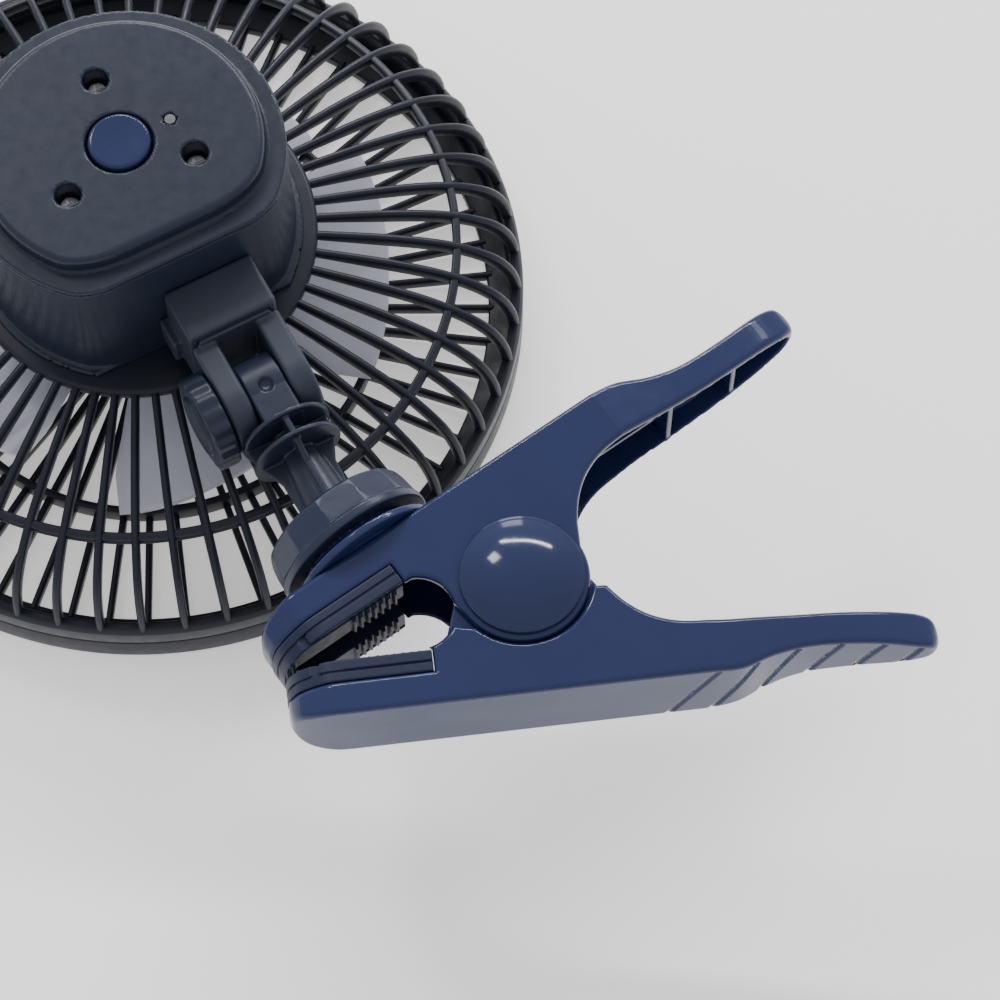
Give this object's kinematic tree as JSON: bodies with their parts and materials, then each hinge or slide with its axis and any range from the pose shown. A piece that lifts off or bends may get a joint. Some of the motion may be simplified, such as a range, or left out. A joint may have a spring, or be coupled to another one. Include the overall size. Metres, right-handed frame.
{
  "type": "clip fan",
  "caption": "Caged desk fan head on a tilting neck and ball joint, carried by a sprung hand clip with serrated jaws; rear button, tilt knob and collar nut.",
  "frame": {"origin": "on the fan axis, in the plane of the front grille's resting face", "axes": "+Z along the fan axis towards the rear cover, +X along the row's longest side, towards the clip's handles"},
  "size_m": [0.2415, 0.1956, 0.0748],
  "materials": {
    "grille": "satin moulded",
    "housing": "satin moulded",
    "clip_gloss": "high gloss",
    "cap_gloss": "high gloss",
    "collar": "satin moulded",
    "pad_rubber": "matt elastomer",
    "blade": "frosted",
    "steel": "bright zinc",
    "zinc": "galvanised",
    "iron": "laminated",
    "black_plastic": "fine matt",
    "battery": "shrink film",
    "board": "solder mask",
    "clear": "clear",
    "nylon": "natural"
  },
  "bodies": {
    "head": {"rear_grille": "grille", "front_grille": "grille", "motor_housing": "housing", "rear_cover": "housing", "cover_screws": "steel", "inner_frame": "black_plastic", "frame_screws": "steel", "hub_screws": "steel", "battery_pack": "battery", "circuit_board": "board", "charging_inlet": "steel", "tact_switch": "black_plastic", "light_pipe": "clear", "motor_can": "zinc", "motor_screws": "steel", "motor_bearings": "steel", "tilt_bracket": "housing", "tilt_yoke": "housing", "bracket_screws": "steel", "tilt_nut": "steel"},
    "impeller": {"motor_shaft": "steel", "motor_rotor": "iron", "fan_blade": "blade", "blade_nut": "black_plastic"},
    "button": {"power_button": "housing"},
    "knob": {"tilt_knob": "housing", "tilt_bolt": "steel"},
    "neck": {"swivel_neck": "housing"},
    "ball_seat": {"ball_seat_ring": "nylon"},
    "clip_upper": {"upper_lever": "clip_gloss", "ball_socket": "clip_gloss", "socket_screws": "steel", "upper_pad": "pad_rubber", "pivot_pin": "steel", "pivot_cap_near": "cap_gloss", "pivot_cap_far": "cap_gloss", "spring_sleeve": "nylon", "torsion_spring": "steel"},
    "collar": {"collar_nut": "collar"},
    "clip_lower": {"lower_lever": "clip_gloss", "lower_pad": "pad_rubber"}
  },
  "joints": [
    {"name": "blade_spin", "type": "hinge", "parent": "head", "child": "impeller", "pos_m": [0, 0, 0.017], "axis": [0, 0, 1], "continuous": true},
    {"name": "button_press", "type": "slide", "parent": "head", "child": "button", "axis": [0, 0, -1], "range_m": [0, 0.001], "stiffness_N_per_m": 900},
    {"name": "knob_turn", "type": "hinge", "parent": "head", "child": "knob", "pos_m": [0.02836, -0.04262, 0.047], "axis": [-0.878, -0.4787, 0], "range_deg": [0, 270]},
    {"name": "head_tilt", "type": "hinge", "parent": "head", "child": "neck", "pos_m": [0.02836, -0.04262, 0.047], "axis": [-0.878, -0.4787, 0], "range_deg": [-5, 90]},
    {"name": "ball_swing", "type": "hinge", "parent": "neck", "child": "ball_seat", "pos_m": [0.04488, -0.07291, 0.047], "axis": [0, 0, 1], "range_deg": [-18, 12]},
    {"name": "clip_roll", "type": "hinge", "parent": "ball_seat", "child": "clip_upper", "pos_m": [0.04488, -0.07291, 0.047], "axis": [-0.5906, 0.807, 0], "continuous": true},
    {"name": "collar_turn", "type": "hinge", "parent": "clip_upper", "child": "collar", "pos_m": [0.04488, -0.07291, 0.047], "axis": [-0.5906, 0.807, 0], "range_deg": [0, 120]},
    {"name": "jaw_open", "type": "hinge", "parent": "clip_upper", "child": "clip_lower", "pos_m": [0.0797, -0.087, 0.047], "axis": [0, 0, 1], "range_deg": [0, 36], "stiffness_Nm_per_rad": 1.2, "springref_deg": -34.38, "deforming": ["torsion_spring"]}
  ]
}
